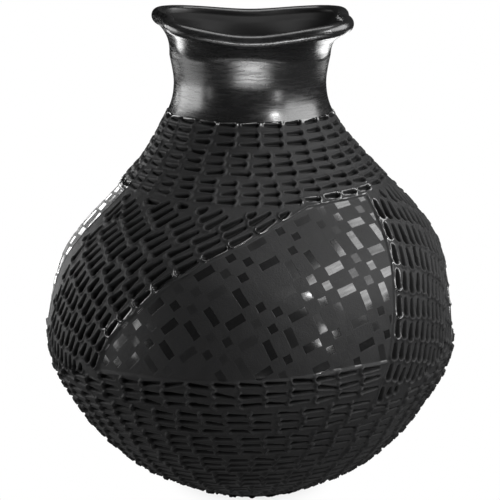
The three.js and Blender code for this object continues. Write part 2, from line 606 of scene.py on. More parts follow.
@dataclass
class FannedBand:
    """The cuts of one band between two panels: ladders of three, side by side in lines.

    The first lines follow the upright edge of the panel on the left. The others follow the
    slanted edge of the panel on the right, and each line is shifted by half a cut. A cut
    that doesn't fit whole is trimmed: a trim is a share of its length and a shift along it,
    as a share of its length too.
    """

    layout: Layout
    third: int
    upright_lines: int
    seed: int
    slanted_lines: int = 12
    line_heights: tuple[float, float] = (172.0, 40.0)
    first_gap: float = 0.3
    first_place: float = 1.5
    ladder_step: float = 12
    line_gap: float = 14.5
    side_gap: float = 4.75
    end_gap: float = 2.0
    width: float = 3.15
    depth: float = 2.3
    lengths: Curve = Curve(((70, 8.2), (100, 8.6), (115, 9.4), (130, 11), (150, 11.6)))
    trims: tuple[tuple[float, float], ...] = (
        (1, 0), (0.74, 0.13), (0.74, -0.13), (0.52, 0.24), (0.52, -0.24),
    )
    stray: Stray = Stray(
        along=0.28, across=0.1, lean=0.035, length=0.05, width=0.06, depth=0.08,
    )
    edge_gap: float = 0.3
    cut_gap: float = 0.55
    third_slack: float = 8
    odd_heights: tuple[float, float] = (160, 74)
    odd_climb: float = 1.7
    odd_step: float = 1.9
    odd_lengths: tuple[float, ...] = (7.5, 5.2)

    def line(self, number: int, upright: bool) -> Array:
        """Draws the middle of a line of ladders, from the panels' top down.

        Args:
            number: Lines between it and its panel.
            upright: Whether it follows the upright edge on the band's left.

        Returns:
            Rows of angle, arc length and lean.
        """
        form, layout = self.layout.form, self.layout
        side = 1 if upright else -1
        heights = np.arange(*self.line_heights, -0.5)
        edge = layout.right_edge if upright else layout.left_edge
        angles = np.radians(edge.at(heights)) - (THIRD if upright else 0)
        arcs = form.arc_of(heights)
        for away in [0.5 * self.line_gap + self.first_gap] + [self.line_gap] * number:
            leans = self.leans(angles, arcs)
            angles = angles + side * away * np.cos(leans) / form.radius_of(arcs)
            arcs = arcs - side * away * np.sin(leans)
            kept = np.concatenate([[True], np.diff(np.minimum.accumulate(arcs)) < -1e-3])
            angles, arcs = angles[kept], arcs[kept]
        return np.column_stack([angles + THIRD * self.third, arcs, self.leans(angles, arcs)])

    def leans(self, angles: Array, arcs: Array) -> Array:
        """Leans from upright along a line of places, towards the right at the top."""
        radii = self.layout.form.radius_of(arcs)
        return np.arctan(np.gradient(angles) * radii / np.gradient(arcs))

    def core(self, cut: Cut) -> Array:
        """Places along a cut's middle line, between the middles of its round ends.

        Args:
            cut: The cut.

        Returns:
            Rows of angle and arc length.
        """
        steps = np.linspace(-0.5, 0.5, 5) * (cut.length - cut.width)
        radius = float(self.layout.form.radius_of(cut.arc))
        angles = cut.angle + steps * math.sin(cut.lean) / radius
        return np.column_stack([angles, cut.arc + steps * math.cos(cut.lean)])

    def fits(self, cut: Cut, others: list[Array]) -> bool:
        """Tells whether a cut is inside the band and clear of the cuts made before.

        Args:
            cut: The cut.
            others: The middle lines of the cuts made before.

        Returns:
            True if there is room for it.
        """
        core = self.core(cut)
        gaps = self.layout.gaps(core[:, 0], core[:, 1])
        off_third = np.degrees(core[:, 0] - THIRD * self.third) - gaps["degrees"]
        here = np.abs(off_third) < self.third_slack
        if not here.all() or gaps["band"].min() < cut.width / 2 + self.edge_gap:
            return False
        if not others:
            return True
        away = np.vstack(others)[None] - core[:, None]
        radius = float(self.layout.form.radius_of(cut.arc))
        nearest = float(np.hypot(away[..., 0] * radius, away[..., 1]).min())
        return nearest > cut.width + self.cut_gap

    def trimmed(self, cut: Cut, others: list[Array]) -> Cut | None:
        """Shortens a cut until it fits.

        Args:
            cut: The whole cut.
            others: The middle lines of the cuts made before.

        Returns:
            The cut as it is made, or nothing if there is no room.
        """
        radius = float(self.layout.form.radius_of(cut.arc))
        for share, shift in self.trims:
            step = shift * cut.length
            tried = replace(
                cut, length=cut.length * share,
                angle=cut.angle + step * math.sin(cut.lean) / radius,
                arc=cut.arc + step * math.cos(cut.lean),
            )
            if self.fits(tried, others):
                return tried
        return None

    def cuts(self) -> list[Cut]:
        """Walks the lines and places their ladders.

        Returns:
            The band's cuts, with their fat ends at the bottom.
        """
        hand = np.random.default_rng(self.seed)
        stray = self.stray
        made, cores = [], []
        order = [(number, True) for number in range(self.upright_lines)]
        order += [(number, False) for number in range(self.slanted_lines)]
        for number, upright in order:
            line = self.line(number, upright)
            radii = self.layout.form.radius_of(line[:, 1])
            steps = np.hypot(np.diff(line[:, 0]) * radii[1:], np.diff(line[:, 1]))
            walked = np.concatenate([[0], np.cumsum(steps)])
            place = 0.5 * (number % 2) * self.ladder_step + self.first_place
            while place < walked[-1]:
                angle, arc, lean = (float(np.interp(place, walked, line[:, i])) for i in range(3))
                radius = float(self.layout.form.radius_of(arc))
                length = float(self.lengths.at(self.layout.form.height_of(np.array(arc))))
                for side in (-1, 0, 1):
                    across = self.side_gap * side + hand.normal(0, stray.across)
                    slip = hand.normal(0, stray.along)
                    whole = Cut(
                        angle + (across * math.cos(lean) + slip * math.sin(lean)) / radius,
                        arc - across * math.sin(lean) + slip * math.cos(lean),
                        lean + hand.normal(0, stray.lean),
                        length * (1 + hand.normal(0, stray.length)),
                        self.width * (1 + hand.normal(0, stray.width)),
                        self.depth * (1 + hand.normal(0, stray.depth)),
                    )
                    cut = self.trimmed(whole, cores)
                    if cut:
                        cores.append(self.core(cut))
                        made.append(replace(cut, lean=cut.lean + math.pi))
                place += length + self.end_gap
        return made + self.odd_cuts(made, cores)

    def odd_cuts(self, made: list[Cut], cores: list[Array]) -> list[Cut]:
        """Fills the gaps that the ladders leave with odd short cuts.

        Args:
            made: The ladders' cuts.
            cores: Their middle lines, to which the odd cuts' are added.

        Returns:
            The odd cuts.
        """
        form, layout = self.layout.form, self.layout
        spots = np.array([(cut.angle, cut.arc, cut.lean) for cut in made])
        odd = []
        top, bottom = (form.arc_of(height) for height in self.odd_heights)
        for arc in np.arange(top, bottom, -self.odd_climb):
            height = form.height_of(np.array(arc))
            radius = float(form.radius_of(arc))
            start = math.radians(float(layout.right_edge.at(height))) - THIRD
            end = math.radians(float(layout.left_edge.at(height)))
            for angle in np.arange(start, end, self.odd_step / radius) + THIRD * self.third:
                away = np.hypot((spots[:, 0] - angle) * radius, spots[:, 1] - arc)
                lean = float(spots[away.argmin(), 2])
                for length in self.odd_lengths:
                    cut = Cut(angle, arc, lean, length, self.width, self.depth)
                    if self.fits(cut, cores):
                        cores.append(self.core(cut))
                        odd.append(cut)
                        break
        return odd


@dataclass
class Carving:
    """Everything the carver did to the outer side, ready to be read at any place.

    A pair of numbers gives where something fades in, from none to whole. They are
    distances inside a zone's edge, depths of a trough, or heights, as their names say.
    """

    layout: Layout
    sheet: WallSheet
    cuts_outside_panel: tuple[float, float] = (-0.2, 0.6)
    cuts_below_burnish: tuple[float, float] = (0.1, 0.9)
    burr_outside_trough: tuple[float, float] = (0.6, 0.1)
    # The trough depth at which the trough share, which sets the painted shade in the troughs, is
    # whole.
    full_trough: float = 1.5
    rise_by_height: float = 0.6
    crease: float = 0.3
    crease_place: float = 0.35
    crease_spread: float = 0.5
    unevenness: float = 0.07
    ripple: float = 0.04
    recess_edge: tuple[float, float] = (-0.1, 1.1)
    pattern_edge: tuple[float, float] = (0.3, 0.9)
    rubbed_beside_panel: tuple[float, float] = (8, 3)
    rubbed_heights: tuple[float, float] = (86, 102)
    rubbed_inside: float = 0.3
    never_rubbed: float = 9
    burr_shine: float = 1.2
    crease_shine: float = 0.7
    neck_shine: float = 0.9
    burnish_margin: tuple[float, float] = (4.5, 0.4)
    foot_margin: float = 3.0

    def press_all(self) -> int:
        """Presses every cut into the sheet.

        Returns:
            The number of cuts.
        """
        layout = self.layout
        groups = [
            NeckRows(layout, (24, 30, 38), FatEnd.RIGHT, "neck", 0.8, 2.3, 2.0, 0.45, 11),
            LowRows(
                layout, (54, 52, 49, 44, 39, 33, 26, 20), FatEnd.LEFT, "low", 0.84, 2.2, 2.4, 1.1,
                12, unsteadiness=1.6,
            ),
            FannedBand(layout, 0, 1, 21),
            FannedBand(layout, 1, 3, 22),
            FannedBand(layout, 2, 2, 23),
        ]
        cuts = [cut for group in groups for cut in group.cuts()]
        for cut in cuts:
            self.sheet.press(cut)
        return len(cuts)

    def at(self, angle: Array, arc: Array) -> tuple[Array, Array, Array]:
        """Reads the carved wall.

        Args:
            angle: Angles from the front.
            arc: Arc lengths up the wall.

        Returns:
            The level of each point above the plain form; its tooling as rows of trough,
            burr and shine; and its place in the panel's pattern as rows of two lattice
            coordinates and how far it is inside a panel.
        """
        layout, form, sheet = self.layout, self.layout.form, self.sheet
        gaps = layout.gaps(angle, arc)
        below_burnish = form.arc_of(layout.burnish_height) - arc
        outside = smoothstep(*self.cuts_outside_panel, -gaps["panel"])
        outside = outside * smoothstep(*self.cuts_below_burnish, below_burnish)
        sink = sheet.read(sheet.sink, angle, arc) * outside
        rise = sheet.read(sheet.rise, angle, arc) * outside
        rise = rise * smoothstep(*self.burr_outside_trough, sink)
        rise = np.minimum(rise, self.rise_by_height * form.height_of(arc))
        burr = sheet.read(sheet.burr, angle, arc) * outside

        inside = gaps["panel"]
        crease = np.exp(-(((inside + self.crease_place) / self.crease_spread) ** 2))
        hand = np.sin(5 * angle + arc * 0.06) + np.sin(9 * angle - arc * 0.11 + 2) * 0.6
        ripple = np.sin(31 * angle + arc * 0.5)
        level = rise - sink + self.crease * crease + self.unevenness * hand
        level = level + self.ripple * ripple
        level = level - layout.recess * smoothstep(*self.recess_edge, inside)
        level = level * smoothstep(0, self.foot_margin, arc)

        outer = inside < self.rubbed_inside
        beside = np.abs(gaps["rim"]) * outer + self.never_rubbed * (gaps["low"] > 0)
        by_panel = smoothstep(*self.rubbed_beside_panel, beside) * outer
        by_panel = by_panel * smoothstep(*self.rubbed_heights, form.height_of(arc))
        rubbed = np.maximum(self.burr_shine * burr, self.crease_shine * crease)
        by_neck = smoothstep(*self.burnish_margin, below_burnish)
        shine = np.maximum(by_panel * rubbed, self.neck_shine * by_neck)
        a, b = layout.lattice(gaps["degrees"], arc)
        # The trough share sets painted shade in the troughs' colour, and the burr share a painted
        # highlight on the burrs.
        tooling = np.column_stack([np.clip(sink / self.full_trough, 0, 1), burr, shine])
        return level, tooling, np.column_stack([a, b, smoothstep(*self.pattern_edge, inside)])


class Desk:
    """Lays out and joins the nodes of one material or node group."""

    def __init__(self, tree: bpy.types.NodeTree) -> None:
        """Starts on a node tree.

        Args:
            tree: The tree to add nodes to.
        """
        self.tree = tree

    def node(
        self, kind: str, inputs: dict[str | int, object] | None = None, **settings: object,
    ) -> bpy.types.Node:
        """Adds a node.

        Args:
            kind: The node's type name.
            inputs: Values or outputs for its inputs, by name or number.
            settings: Values for the node's own settings.

        Returns:
            The new node.
        """
        made = self.tree.nodes.new(kind)
        for name, value in settings.items():
            setattr(made, name, value)
        for name, value in (inputs or {}).items():
            self.feed(made.inputs[name], value)
        return made

    def feed(self, socket: bpy.types.NodeSocket, value: object) -> None:
        """Links an output to a socket, or sets the socket's value."""
        if isinstance(value, bpy.types.NodeSocket):
            self.tree.links.new(value, socket)
        else:
            socket.default_value = value

    def math(self, operation: str, *values: object) -> bpy.types.NodeSocket:
        """Adds a Math node.

        Args:
            operation: The node's operation.
            values: Numbers or outputs, in the order of its inputs.

        Returns:
            The node's output.
        """
        made = self.node("ShaderNodeMath", dict(enumerate(values)), operation=operation)
        return made.outputs[0]

    def ramp(
        self, value: object, low: float, high: float, start: float = 0.0, end: float = 1.0,
    ) -> bpy.types.NodeSocket:
        """Eases a value from start to end while it goes from low to high.

        Args:
            value: A number or an output.
            low: Where the result leaves start.
            high: Where the result reaches end.
            start: The result at low and below.
            end: The result at high and above.

        Returns:
            The eased value.
        """
        made = self.node(
            "ShaderNodeMapRange",
            {"Value": value, "From Min": low, "From Max": high, "To Min": start, "To Max": end},
            interpolation_type="SMOOTHSTEP",
        )
        return made.outputs["Result"]

    def blend(self, amount: object, first: object, second: object) -> bpy.types.NodeSocket:
        """Mixes two numbers."""
        made = self.node("ShaderNodeMix", {0: amount, 2: first, 3: second}, data_type="FLOAT")
        return made.outputs[0]

    def blend_colour(self, amount: object, first: object, second: object) -> bpy.types.NodeSocket:
        """Mixes two colours."""
        made = self.node("ShaderNodeMix", {0: amount, 6: first, 7: second}, data_type="RGBA")
        return made.outputs[2]

    def noise(
        self, vector: object, scale: float, detail: float, roughness: float = 0.5,
    ) -> bpy.types.NodeSocket:
        """Adds a noise texture.

        Args:
            vector: Where the noise is read.
            scale: How many grains there are to a metre, or to a unit of the vector.
            detail: How many finer layers it has.
            roughness: How strong the finer layers are.

        Returns:
            The noise's value.
        """
        made = self.node(
            "ShaderNodeTexNoise",
            {"Vector": vector, "Scale": scale, "Detail": detail, "Roughness": roughness},
        )
        return made.outputs["Fac"]


class Effect:
    """A shader node group that several finishes share, built once."""

    name = "effect"
    takes: tuple[tuple[str, str, float], ...] = ()
    gives: tuple[str, ...] = ()

    @classmethod
    def group(cls) -> bpy.types.NodeTree:
        """Finds the group, or builds it the first time.

        Returns:
            The group's tree.
        """
        if cls.name in bpy.data.node_groups:
            return bpy.data.node_groups[cls.name]
        tree = bpy.data.node_groups.new(cls.name, "ShaderNodeTree")
        for name, kind, value in cls.takes:
            socket = tree.interface.new_socket(name, in_out="INPUT", socket_type=kind)
            if kind == "NodeSocketFloat":
                socket.default_value = value
        for name in cls.gives:
            tree.interface.new_socket(name, in_out="OUTPUT", socket_type="NodeSocketFloat")
        desk = Desk(tree)
        entry = desk.node("NodeGroupInput")
        leave = desk.node("NodeGroupOutput")
        for name, value in cls.lay_out(desk, entry).items():
            desk.feed(leave.inputs[name], value)
        return tree

    @classmethod
    def lay_out(cls, desk: Desk, entry: bpy.types.Node) -> dict[str, bpy.types.NodeSocket]:
        """Adds the group's nodes.

        Args:
            desk: The desk of the group's tree.
            entry: The group's input node.

        Returns:
            An output for each name in gives.
        """
        raise NotImplementedError

    @classmethod
    def use(cls, desk: Desk, **inputs: object) -> bpy.types.Node:
        """Places the group in a material.

        Args:
            desk: The desk of the material.
            inputs: Values or outputs, by socket name with underscores for spaces.

        Returns:
            The group's node.
        """
        named = {name.replace("_", " "): value for name, value in inputs.items()}
        made = desk.node("ShaderNodeGroup", node_tree=cls.group())
        for name, value in named.items():
            desk.feed(made.inputs[name], value)
        return made


class ClayGrain(Effect):
    """Fine grit and slow smoke clouds of fired clay."""

    name = "clay_grain"
    takes = (("Vector", "NodeSocketVector", 0), ("Grit", "NodeSocketFloat", 1.0))
    gives = ("Cloud", "Speck", "Height")
    cloud_scale, fine_scale, coarse_scale = 26, 1500, 420
    roughness = 0.6
    speck_range = (0.58, 0.72)
    cloud_range = (0.3, 0.7)

    @classmethod
    def lay_out(cls, desk: Desk, entry: bpy.types.Node) -> dict[str, bpy.types.NodeSocket]:
        """Adds three noises: slow clouds, fine specks, and the grain's height.

        Args:
            desk: The desk of the group's tree.
            entry: The group's input node.

        Returns:
            An output for each name in gives.
        """
        vector, grit = entry.outputs["Vector"], entry.outputs["Grit"]
        cloud = desk.noise(vector, cls.cloud_scale, 4, cls.roughness)
        fine = desk.noise(vector, cls.fine_scale, 3, cls.roughness)
        coarse = desk.noise(vector, cls.coarse_scale, 3, cls.roughness)
        speck = desk.ramp(fine, *cls.speck_range)
        height = desk.math("MULTIPLY", desk.math("ADD", fine, coarse), grit)
        return {"Cloud": desk.ramp(cloud, *cls.cloud_range), "Speck": speck, "Height": height}


class BurnishStreaks(Effect):
    """Streaks that a quartz stone leaves, long one way and fine the other."""

    name = "burnish_streaks"
    takes = (("Vector", "NodeSocketVector", 0), ("Wear", "NodeSocketFloat", 0.5))
    gives = ("Streak", "Patch", "Height")
    broad_scale = 0.22
    streak_range = (0.38, 0.68)
    patch_range = (0.35, 0.7)
    fine_height, broad_height = 0.6, 1.2

    @classmethod
    def lay_out(cls, desk: Desk, entry: bpy.types.Node) -> dict[str, bpy.types.NodeSocket]:
        """Adds stretched noises; the vector is already stretched along the strokes.

        Args:
            desk: The desk of the group's tree.
            entry: The group's input node.

        Returns:
            An output for each name in gives.
        """
        vector = entry.outputs["Vector"]
        fine = desk.noise(vector, 1.0, 5, 0.65)
        broad = desk.noise(vector, cls.broad_scale, 3, 0.5)
        streak = desk.ramp(fine, *cls.streak_range)
        patch = desk.ramp(broad, *cls.patch_range)
        worn = desk.math("MULTIPLY", patch, entry.outputs["Wear"])
        ridges = desk.math("MULTIPLY", fine, cls.fine_height)
        swells = desk.math("MULTIPLY", broad, cls.broad_height)
        return {"Streak": streak, "Patch": worn, "Height": desk.math("ADD", ridges, swells)}


class PanelPattern(Effect):
    """The burnished squares and bars of a panel, read from its lattice coordinates."""

    name = "panel_pattern"
    takes = (
        ("Lattice", "NodeSocketVector", 0),
        ("Square", "NodeSocketFloat", 0.075),
        ("Bar", "NodeSocketFloat", 0.17),
        ("Spread", "NodeSocketFloat", 0.21),
    )
    gives = ("Mask", "Tone")
    off_centre = 0.105
    between_marks = 0.307
    soft_edge = 0.004

    @classmethod
    def lay_out(cls, desk: Desk, entry: bpy.types.Node) -> dict[str, bpy.types.NodeSocket]:
        """Folds the lattice into one quarter of a repeat, and gives each mark its own tone.

        Args:
            desk: The desk of the group's tree.
            entry: The group's input node.

        Returns:
            An output for each name in gives.
        """
        split = desk.node("ShaderNodeSeparateXYZ", {0: entry.outputs["Lattice"]})
        square, bar, spread = (entry.outputs[n] for n in ("Square", "Bar", "Spread"))
        folded, places = [], []
        for axis in ("X", "Y"):
            whole = split.outputs[axis]
            near = desk.math("ROUND", whole)
            off = desk.math("SUBTRACT", whole, near)
            fold = desk.math("ABSOLUTE", off)
            third = desk.math("MULTIPLY", desk.math("GREATER_THAN", fold, cls.off_centre), 0.3)
            aside = desk.math("MULTIPLY_ADD", desk.math("SIGN", off), third, near)
            between = desk.math("ADD", desk.math("FLOOR", whole), 0.5)
            past = desk.math("GREATER_THAN", fold, cls.between_marks)
            places.append(desk.blend(past, aside, between))
            folded.append(fold)
        a, b = folded
        place = desk.node("ShaderNodeCombineXYZ", {"X": places[0], "Y": places[1]})
        own = {"Vector": place.outputs[0]}
        tone = desk.node("ShaderNodeTexWhiteNoise", own, noise_dimensions="2D")

        def mark(
            from_a: object, from_b: object, half_a: object, half_b: object,
        ) -> bpy.types.NodeSocket:
            """Draws a rectangle in the folded quarter.

            Args:
                from_a: Its middle along the first coordinate.
                from_b: Its middle along the second coordinate.
                half_a: Half its size along the first coordinate.
                half_b: Half its size along the second coordinate.

            Returns:
                How far a place is inside the rectangle.
            """
            insets = []
            for value, centre, half in ((a, from_a, half_a), (b, from_b, half_b)):
                away = desk.math("ABSOLUTE", desk.math("SUBTRACT", value, centre))
                insets.append(desk.math("SUBTRACT", half, away))
            return desk.math("MINIMUM", *insets)

        marks = [
            mark(spread, 0.0, square, square), mark(0.0, spread, square, square),
            mark(0.5, spread, bar, square), mark(spread, 0.5, square, bar),
        ]
        widest = marks[0]
        for other in marks[1:]:
            widest = desk.math("MAXIMUM", widest, other)
        mask = desk.ramp(widest, -cls.soft_edge, cls.soft_edge)
        return {"Mask": mask, "Tone": tone.outputs["Value"]}


@dataclass(frozen=True)
class MatteClay:
    """Carved black clay: dry ground, troughs darkened with painted shade, burrs lightened with
    painted highlight, rubbed burrs, burnished marks.
    """

    name: str = "matte_clay"
    ground: Colour = (0.016, 0.016, 0.0165, 1)
    # Trough colour: painted shade, the darker colour laid into the cuts where they are deep.
    trough: Colour = (0.003, 0.003, 0.0031, 1)
    # Lighter clay colour: real lighter clouds on the ground, and a painted highlight on the burrs.
    dust_and_highlight: Colour = (0.024, 0.024, 0.0245, 1)
    polish: Colour = (0.0078, 0.0078, 0.008, 1)
    ground_roughness: float = 0.62
    speck_roughness: float = 0.12
    ground_specular: float = 0.3
    polish_roughness: float = 0.13
    polish_ior: float = 1.8
    under_polish: float = 0.25
    polish_calm: float = 0.8
    ragged_scale: float = 260
    raggedness: float = 0.9
    rubbed_range: tuple[float, float] = (0.5, 0.8)
    unrubbed_trough: tuple[float, float] = (0.5, 0.1)
    # Painted highlight: how much the raised burrs are lightened.
    burr_highlight: float = 0.5
    ground_dust: float = 0.35
    bump_strength: float = 0.5
    bump_depth: float = 0.00025
    wobble_scale: float = 55.0
    wobble: float = 0.05
    stroke_scale: tuple[float, float, float] = (6, 70, 1)
    stroke_wear: float = 0.45
    stroke_gloss: tuple[float, float] = (0.7, 1.0)
    faint_tones: float = 0.7
    faintest: float = 0.25

    def build(self) -> bpy.types.Material:
        """Builds the material.

        Returns:
            The finished material.
        """
        material = bpy.data.materials.new(self.name)
        material.use_nodes = True
        desk = Desk(material.node_tree)
        shader = material.node_tree.nodes["Principled BSDF"]
        shader.inputs["Specular IOR Level"].default_value = self.ground_specular
        shader.inputs["Coat Roughness"].default_value = self.polish_roughness
        shader.inputs["Coat IOR"].default_value = self.polish_ior
        place = desk.node("ShaderNodeTexCoord").outputs["Object"]
        grain = ClayGrain.use(desk, Vector=place, Grit=1.0)
        cloud = grain.outputs["Cloud"]
        tooling = desk.node("ShaderNodeAttribute", attribute_name="tooling")
        tool = desk.node("ShaderNodeSeparateXYZ", {0: tooling.outputs["Vector"]})
        trough, burr, shine = (tool.outputs[axis] for axis in "XYZ")
        lattice = desk.node("ShaderNodeAttribute", attribute_name="lattice").outputs["Vector"]
        marks, streaks = self.marks(desk, place, lattice)

        noise = desk.noise(place, self.ragged_scale, 3)
        ragged = desk.math("MULTIPLY_ADD", noise, self.raggedness, -self.raggedness / 2)
        rubbed = desk.ramp(desk.math("ADD", shine, ragged), *self.rubbed_range)
        rubbed = desk.math("MULTIPLY", rubbed, desk.ramp(trough, *self.unrubbed_trough))
        polished = desk.math("MAXIMUM", marks, rubbed)
        # Lighter colour: real clouds over the ground, plus a painted highlight on the burrs.
        dust_and_highlight = desk.math("MULTIPLY_ADD", burr, self.burr_highlight, self.ground_dust)
        dust_and_highlight_share = desk.math("MULTIPLY", cloud, dust_and_highlight)
        colour = desk.blend_colour(dust_and_highlight_share, self.ground, self.dust_and_highlight)
        # Painted shade: darkens the colour by the trough share, most in the deepest cuts.
        colour = desk.blend_colour(trough, colour, self.trough)
        colour = desk.blend_colour(polished, colour, self.polish)
        desk.feed(shader.inputs["Base Color"], colour)
        coat = desk.math("MAXIMUM", desk.math("MULTIPLY", marks, streaks), rubbed)
        desk.feed(shader.inputs["Coat Weight"], coat)

        grit = desk.math("MULTIPLY", grain.outputs["Speck"], self.speck_roughness)
        dry = desk.math("ADD", self.ground_roughness, grit)
        desk.feed(shader.inputs["Roughness"], desk.blend(polished, dry, self.under_polish))
        calm = desk.math("MULTIPLY_ADD", polished, -self.polish_calm, 1.0)
        height = desk.math("MULTIPLY", grain.outputs["Height"], calm)
        raised = {"Strength": self.bump_strength, "Distance": self.bump_depth, "Height": height}
        bump = desk.node("ShaderNodeBump", raised)
        desk.feed(shader.inputs["Normal"], bump.outputs[0])
        return material

    def marks(
        self, desk: Desk, place: bpy.types.NodeSocket, lattice: bpy.types.NodeSocket,
    ) -> tuple[bpy.types.NodeSocket, bpy.types.NodeSocket]:
        """Draws the panel's burnished marks with a slightly unsteady hand.

        Args:
            desk: The material's desk.
            place: Places on the pot.
            lattice: The panel's lattice coordinates and how far inside it a place is.

        Returns:
            The marks' mask, and how well the stone has polished each place.
        """
        inside = desk.node("ShaderNodeSeparateXYZ", {0: lattice}).outputs["Z"]
        slow = {"Vector": place, "Scale": self.wobble_scale, "Detail": 2.0}
        wobble = desk.node("ShaderNodeTexNoise", slow)
        centre = {0: wobble.outputs["Color"], 1: (0.5, 0.5, 0.5)}
        shaken = desk.node("ShaderNodeVectorMath", centre, operation="SUBTRACT")
        scaled = {0: shaken.outputs[0], "Scale": self.wobble}
        shift = desk.node("ShaderNodeVectorMath", scaled, operation="SCALE")
        moved = {0: lattice, 1: shift.outputs[0]}
        drawn = desk.node("ShaderNodeVectorMath", moved, operation="ADD")
        pattern = PanelPattern.use(desk, Lattice=drawn.outputs[0])
        strokes = desk.node("ShaderNodeMapping", {0: lattice, "Scale": self.stroke_scale})
        streaks = BurnishStreaks.use(desk, Vector=strokes.outputs[0], Wear=self.stroke_wear)
        kept = desk.math("SUBTRACT", 1.0, streaks.outputs["Patch"])
        stroked = desk.ramp(streaks.outputs["Streak"], 0, 1, *self.stroke_gloss)
        gloss = desk.math("MULTIPLY", stroked, kept)
        clear = desk.ramp(pattern.outputs["Tone"], 0.0, self.faint_tones, self.faintest, 1.0)
        mask = desk.math("MULTIPLY", pattern.outputs["Mask"], clear)
        return desk.math("MULTIPLY", mask, inside), gloss


@dataclass(frozen=True)
class BurnishedClay:
    """Neck and mouth clay, rubbed level to a deep gloss with stroke marks; inside the mouth it is
    duller and darkened with painted shade.
    """

    name: str = "burnished_clay"
    black: Colour = (0.0085, 0.0085, 0.0088, 1)
    grey: Colour = (0.016, 0.016, 0.0164, 1)
    # The mouth's inside colour: painted shade, darker than the outside.
    shaded_inside: Colour = (0.004, 0.0039, 0.004, 1)
    gloss: float = 0.22
    dull: float = 0.34
    inside_roughness: float = 0.5
    outer_specular: float = 0.5
    inside_specular: float = 0.14
    ior: float = 1.8
    stroke_scale: tuple[float, float, float] = (110, 110, 900)
    stroke_wear: float = 0.5
    bump_strength: float = 0.4
    bump_depth: float = 0.00015

    def build(self) -> bpy.types.Material:
        """Builds the material.

        Returns:
            The finished material.
        """
        material = bpy.data.materials.new(self.name)
        material.use_nodes = True
        desk = Desk(material.node_tree)
        shader = material.node_tree.nodes["Principled BSDF"]
        shader.inputs["IOR"].default_value = self.ior
        place = desk.node("ShaderNodeTexCoord").outputs["Object"]
        level = desk.node("ShaderNodeMapping", {0: place, "Scale": self.stroke_scale})
        streaks = BurnishStreaks.use(desk, Vector=level.outputs[0], Wear=self.stroke_wear)
        colour = desk.blend_colour(streaks.outputs["Patch"], self.black, self.grey)
        tooling = desk.node("ShaderNodeAttribute", attribute_name="tooling").outputs["Vector"]
        inside = desk.node("ShaderNodeSeparateXYZ", {0: tooling}).outputs["X"]
        # Inside the mouth the colour goes darker: painted shade.
        desk.feed(shader.inputs["Base Color"], desk.blend_colour(inside, colour, self.shaded_inside))
        rough = desk.blend(streaks.outputs["Streak"], self.gloss, self.dull)
        desk.feed(shader.inputs["Roughness"], desk.blend(inside, rough, self.inside_roughness))
        specular = desk.blend(inside, self.outer_specular, self.inside_specular)
        desk.feed(shader.inputs["Specular IOR Level"], specular)
        height = streaks.outputs["Height"]
        raised = {"Strength": self.bump_strength, "Distance": self.bump_depth, "Height": height}
        bump = desk.node("ShaderNodeBump", raised)
        desk.feed(shader.inputs["Normal"], bump.outputs[0])
        return material


@dataclass
class Workshop:
    """What every member needs: the form, the carving and the two finishes."""

    form: PotForm
    carving: Carving
    finishes: dict[Slot, bpy.types.Material]

    def piece(self, name: str, bm: bmesh.types.BMesh, slot: Slot, *nodes: str) -> bpy.types.Object:
        """Makes a finished piece of a bmesh, on the pot's body.

        Args:
            name: The piece's name.
            bm: Its shape, which is freed.
            slot: Its finish.
            nodes: The frame's nodes that it stands for.

        Returns:
            The piece.
        """
        mesh = bpy.data.meshes.new(name)
        bm.to_mesh(mesh)
        bm.free()
        mesh.shade_smooth()
        mesh.materials.append(self.finishes[slot])
        made = bpy.data.objects.new(name, mesh)
        bpy.context.scene.collection.objects.link(made)
        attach(made, BODY)
        if nodes:
            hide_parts(*nodes)
        log.info("%s: %d faces", name, len(mesh.polygons))
        return made

    def move_points(self, piece: bpy.types.Object, places: Array) -> None:
        """Puts a piece's points at places given in millimetres."""
        piece.data.vertices.foreach_set("co", (places * MM).astype(np.float32).ravel())
        piece.data.update()

    def points(self, piece: bpy.types.Object) -> Array:
        """Reads a piece's points as rows of x, y and z."""
        found = np.empty(len(piece.data.vertices) * 3, np.float32)
        piece.data.vertices.foreach_get("co", found)
        return found.reshape(-1, 3).astype(float)

    def close_seam(self, piece: bpy.types.Object) -> None:
        """Joins the two sides of the seam of a piece that goes all the way round.

        Args:
            piece: The piece.
        """
        bm = bmesh.new()
        bm.from_mesh(piece.data)
        bmesh.ops.remove_doubles(bm, verts=bm.verts, dist=1e-6)
        bmesh.ops.recalc_face_normals(bm, faces=bm.faces)
        bm.to_mesh(piece.data)
        bm.free()

    def note(self, piece: bpy.types.Object, name: str, rows: Array) -> None:
        """Keeps three numbers for each point under a name that the finish reads."""
        kept = piece.data.attributes.new(name, "FLOAT_VECTOR", "POINT")
        kept.data.foreach_set("vector", rows.astype(np.float32).ravel())


